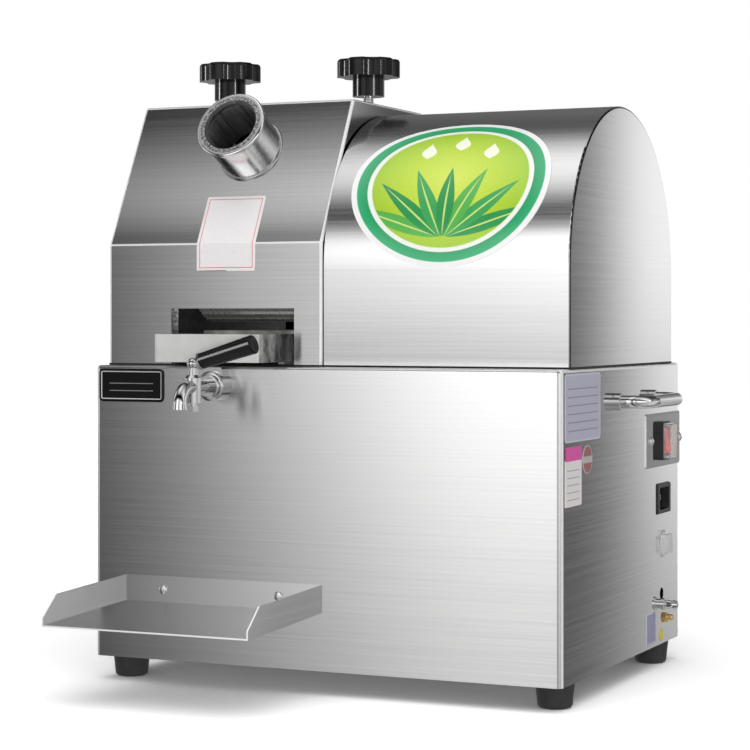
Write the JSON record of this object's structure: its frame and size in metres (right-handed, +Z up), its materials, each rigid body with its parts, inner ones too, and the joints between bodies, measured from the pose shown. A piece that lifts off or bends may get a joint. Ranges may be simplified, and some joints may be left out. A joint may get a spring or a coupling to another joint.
{
  "type": "sugarcane juicer",
  "caption": "Table-top sugarcane juicer: folded steel cabinet, three-roller mill under a lift-off head with a feed tube, domed drive cover, juice tray, lever tap and cup shelf.",
  "frame": {"origin": "middle of the overall box, on the surface that the feet stand on", "axes": "+X to the operator's right, -Y towards the operator, +Z up"},
  "size_m": [0.568, 0.505, 0.6098],
  "materials": {
    "brushed_steel": "horizontal brushed stainless sheet",
    "matte_steel": "matte stainless sheet",
    "polished_steel": "polished",
    "machined_steel": "turned and milled steel",
    "zinc_steel": "zinc plated",
    "gear_steel": "oiled steel",
    "bronze": "turned bronze",
    "brass": "plain brass",
    "black_rubber": "matte moulded rubber",
    "black_plastic": "glossy moulded plastic",
    "red_plastic": "glossy moulded plastic",
    "clear_plastic": "clear soft plastic",
    "white_plastic": "plain moulded plastic",
    "cast_housing": "grey machine paint",
    "motor_paint": "dark machine paint"
  },
  "bodies": {
    "cabinet": {"cabinet_shell": "brushed_steel", "base_plate": "brushed_steel", "rubber_feet": "black_rubber", "foot_screws": "zinc_steel", "cover_seal": "black_rubber", "dome_cover": "brushed_steel", "mill_plate_left": "machined_steel", "mill_plate_right": "machined_steel", "tie_bars": "machined_steel", "tie_bar_nuts": "zinc_steel", "roller_bushes": "bronze", "stud_blocks": "machined_steel", "turn_plate": "machined_steel", "waste_chute": "matte_steel", "tray_rails": "matte_steel", "juice_cup": "matte_steel", "juice_pipe": "black_rubber", "tap_body": "polished_steel", "tap_nuts": "polished_steel", "tap_bonnet": "polished_steel", "cup_shelf": "brushed_steel", "panel_screws": "zinc_steel", "right_handle": "polished_steel", "left_handle": "polished_steel", "handle_ferrules": "polished_steel", "switch_plate": "brushed_steel", "switch_housing": "black_plastic", "switch_boot": "clear_plastic", "power_inlet": "black_plastic", "inlet_pins": "zinc_steel", "breaker_body": "black_plastic", "breaker_ring": "clear_plastic", "breaker_cap": "clear_plastic", "drain_nipple": "polished_steel", "earth_stud": "brass", "lock_nuts": "brass", "drive_stand": "cast_housing", "gearbox": "cast_housing", "motor": "motor_paint", "run_capacitor": "white_plastic"},
    "head_cover": {"head_cover": "brushed_steel", "feed_tube": "polished_steel"},
    "left_knob": {"left_knob": "black_plastic", "left_knob_stud": "zinc_steel"},
    "right_knob": {"right_knob": "black_plastic", "right_knob_stud": "zinc_steel"},
    "juice_tray": {"juice_tray": "matte_steel", "juice_strainer": "matte_steel"},
    "top_roller": {"top_roller": "machined_steel", "top_gear": "gear_steel", "drive_coupling": "machined_steel", "output_shaft": "machined_steel"},
    "front_roller": {"front_roller": "machined_steel", "front_gear": "gear_steel"},
    "rear_roller": {"rear_roller": "machined_steel", "rear_gear": "gear_steel"},
    "tap_lever": {"tap_lever": "polished_steel", "lever_grip": "black_plastic"},
    "rocker": {"rocker": "red_plastic"},
    "reset_button": {"reset_button": "white_plastic"}
  },
  "joints": [
    {"name": "head_lift", "type": "slide", "parent": "cabinet", "child": "head_cover", "axis": [0, 0, 1], "range_m": [0, 0.26]},
    {"name": "left_knob_turn", "type": "hinge", "parent": "head_cover", "child": "left_knob", "pos_m": [-0.1868, 0.0735, 0.5685], "axis": [0, 0, 1], "continuous": true},
    {"name": "right_knob_turn", "type": "hinge", "parent": "head_cover", "child": "right_knob", "pos_m": [-0.03, 0.0735, 0.5685], "axis": [0, 0, 1], "continuous": true},
    {"name": "tray_slide", "type": "slide", "parent": "cabinet", "child": "juice_tray", "axis": [0, -1, 0], "range_m": [0, 0.02]},
    {"name": "top_roller_spin", "type": "hinge", "parent": "cabinet", "child": "top_roller", "pos_m": [-0.1084, 0.0735, 0.45799], "axis": [1, 0, 0], "continuous": true},
    {"name": "front_roller_spin", "type": "hinge", "parent": "cabinet", "child": "front_roller", "pos_m": [-0.1084, 0.0215, 0.387], "axis": [1, 0, 0], "continuous": true},
    {"name": "rear_roller_spin", "type": "hinge", "parent": "cabinet", "child": "rear_roller", "pos_m": [-0.1084, 0.1255, 0.387], "axis": [1, 0, 0], "continuous": true},
    {"name": "tap_turn", "type": "hinge", "parent": "cabinet", "child": "tap_lever", "pos_m": [-0.103, -0.1555, 0.3065], "axis": [0, 0, 1], "range_deg": [-90, 0]},
    {"name": "rocker_tilt", "type": "hinge", "parent": "cabinet", "child": "rocker", "pos_m": [0.2465, 0.169, 0.2275], "axis": [0, 1, 0], "range_deg": [0, 16]},
    {"name": "reset_push", "type": "slide", "parent": "cabinet", "child": "reset_button", "axis": [-1, 0, 0], "range_m": [0, 0.003], "stiffness_N_per_m": 600}
  ],
  "couplings": [
    {"joint": "front_roller_spin", "follows": "top_roller_spin", "ratio": -1},
    {"joint": "rear_roller_spin", "follows": "top_roller_spin", "ratio": -1}
  ]
}
